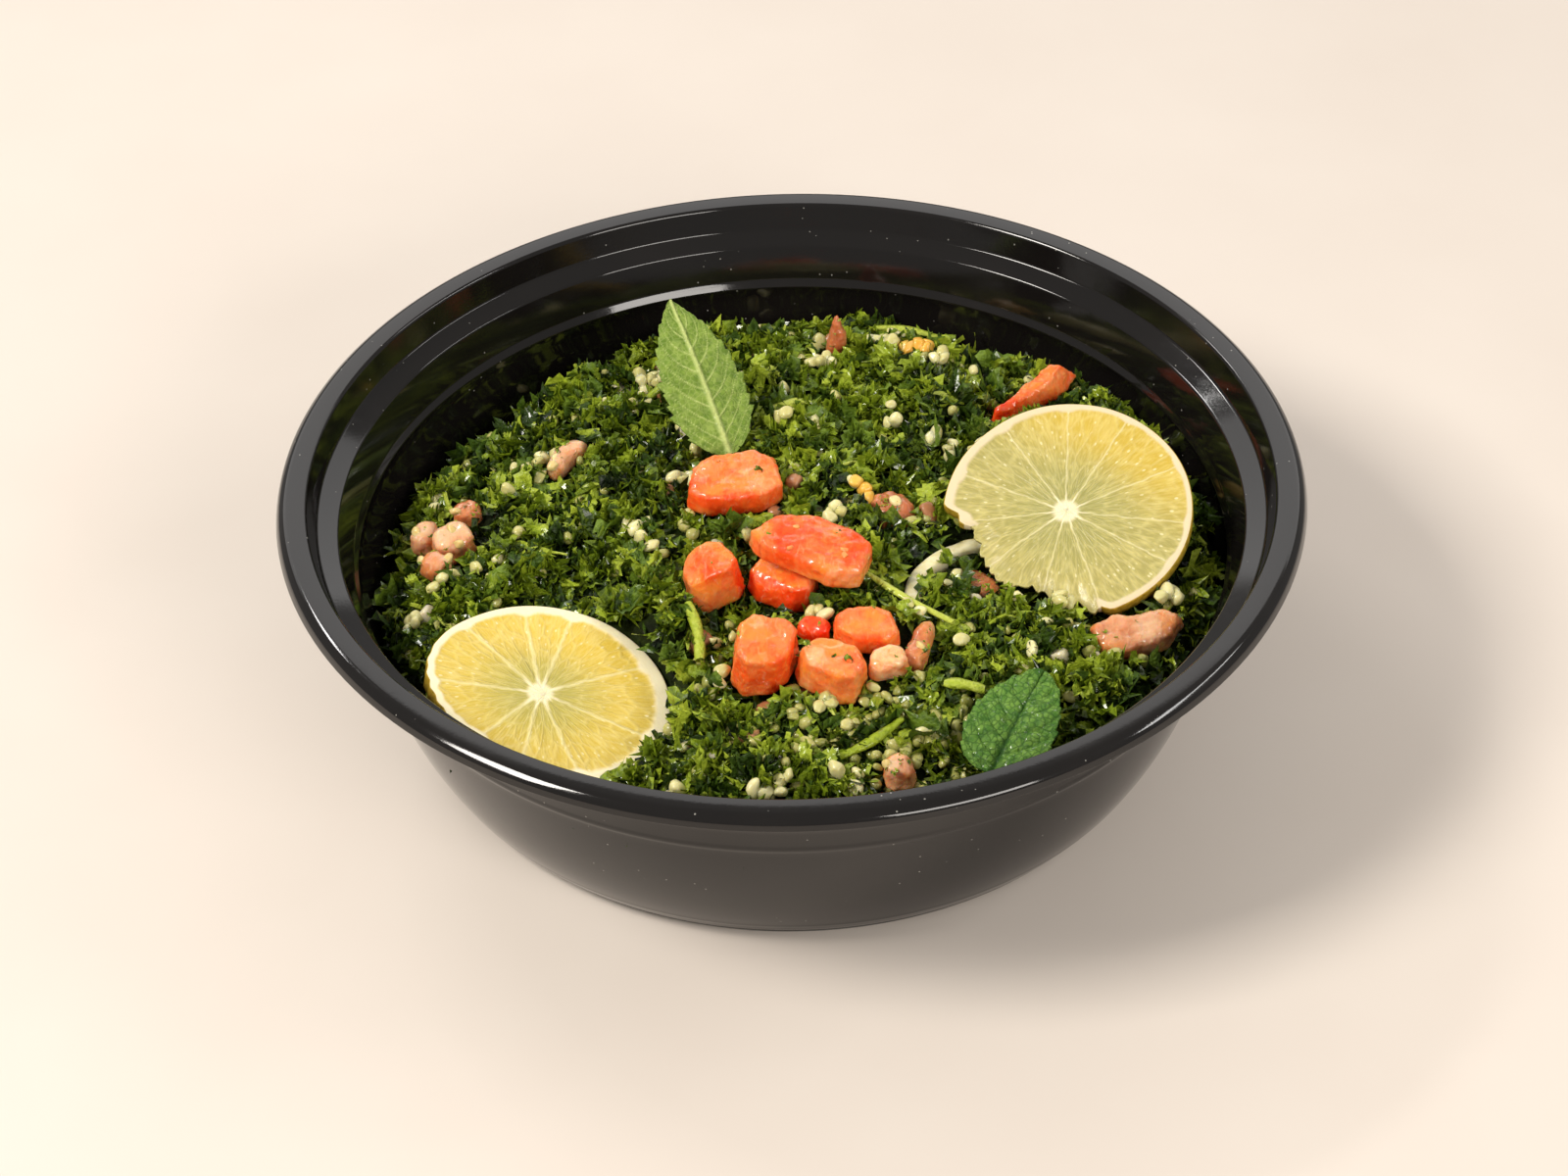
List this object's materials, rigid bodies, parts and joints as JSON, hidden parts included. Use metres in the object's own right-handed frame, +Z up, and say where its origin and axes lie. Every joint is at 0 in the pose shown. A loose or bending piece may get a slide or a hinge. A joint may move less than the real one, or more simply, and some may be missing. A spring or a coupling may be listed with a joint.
{
  "type": "tabbouleh salad in a bowl",
  "caption": "Tabbouleh salad of chopped parsley, bulgur and tomato in a round black takeaway bowl, topped with diced tomato, lemon slices and mint leaves.",
  "frame": {"origin": "centre of the bowl's base, on the surface it stands on", "axes": "+Z up out of the bowl, -Y towards the side from which the salad is seen, +X to that viewer's right"},
  "size_m": [0.184, 0.184, 0.0569],
  "materials": {
    "bowl_plastic": "glossy black injection-moulded plastic",
    "chopped_salad": "wet chopped parsley mixed with pale bulgur",
    "lemon": "wet translucent flesh inside a cream pith ring and thin yellow zest",
    "lemon_rind": "matt cream pith with thin yellow zest",
    "mint": "satin leaf with raised or sunken veins",
    "tomato": "wet cut flesh, slightly translucent"
  },
  "bodies": {
    "root": {"bowl": "bowl_plastic", "salad_heap": "chopped_salad", "lemon_left": "lemon", "lemon_right": "lemon", "lemon_rind": "lemon_rind", "mint_back": "mint", "mint_front": "mint", "tomato_dice_1": "tomato", "tomato_dice_2": "tomato", "tomato_dice_3": "tomato", "tomato_dice_4": "tomato", "tomato_dice_5": "tomato", "tomato_dice_6": "tomato", "tomato_dice_7": "tomato", "tomato_dice_8": "tomato", "tomato_dice_9": "tomato", "tomato_pulp": "tomato", "tomato_wedge": "tomato", "tomato_spike": "tomato", "tomato_left_1": "tomato", "tomato_left_2": "tomato", "tomato_left_3": "tomato", "tomato_left_4": "tomato", "tomato_strip_back": "tomato", "tomato_strip_centre": "tomato", "tomato_strip_right": "tomato", "tomato_under_lemon": "tomato", "tomato_front": "tomato"}
  },
  "joints": []
}
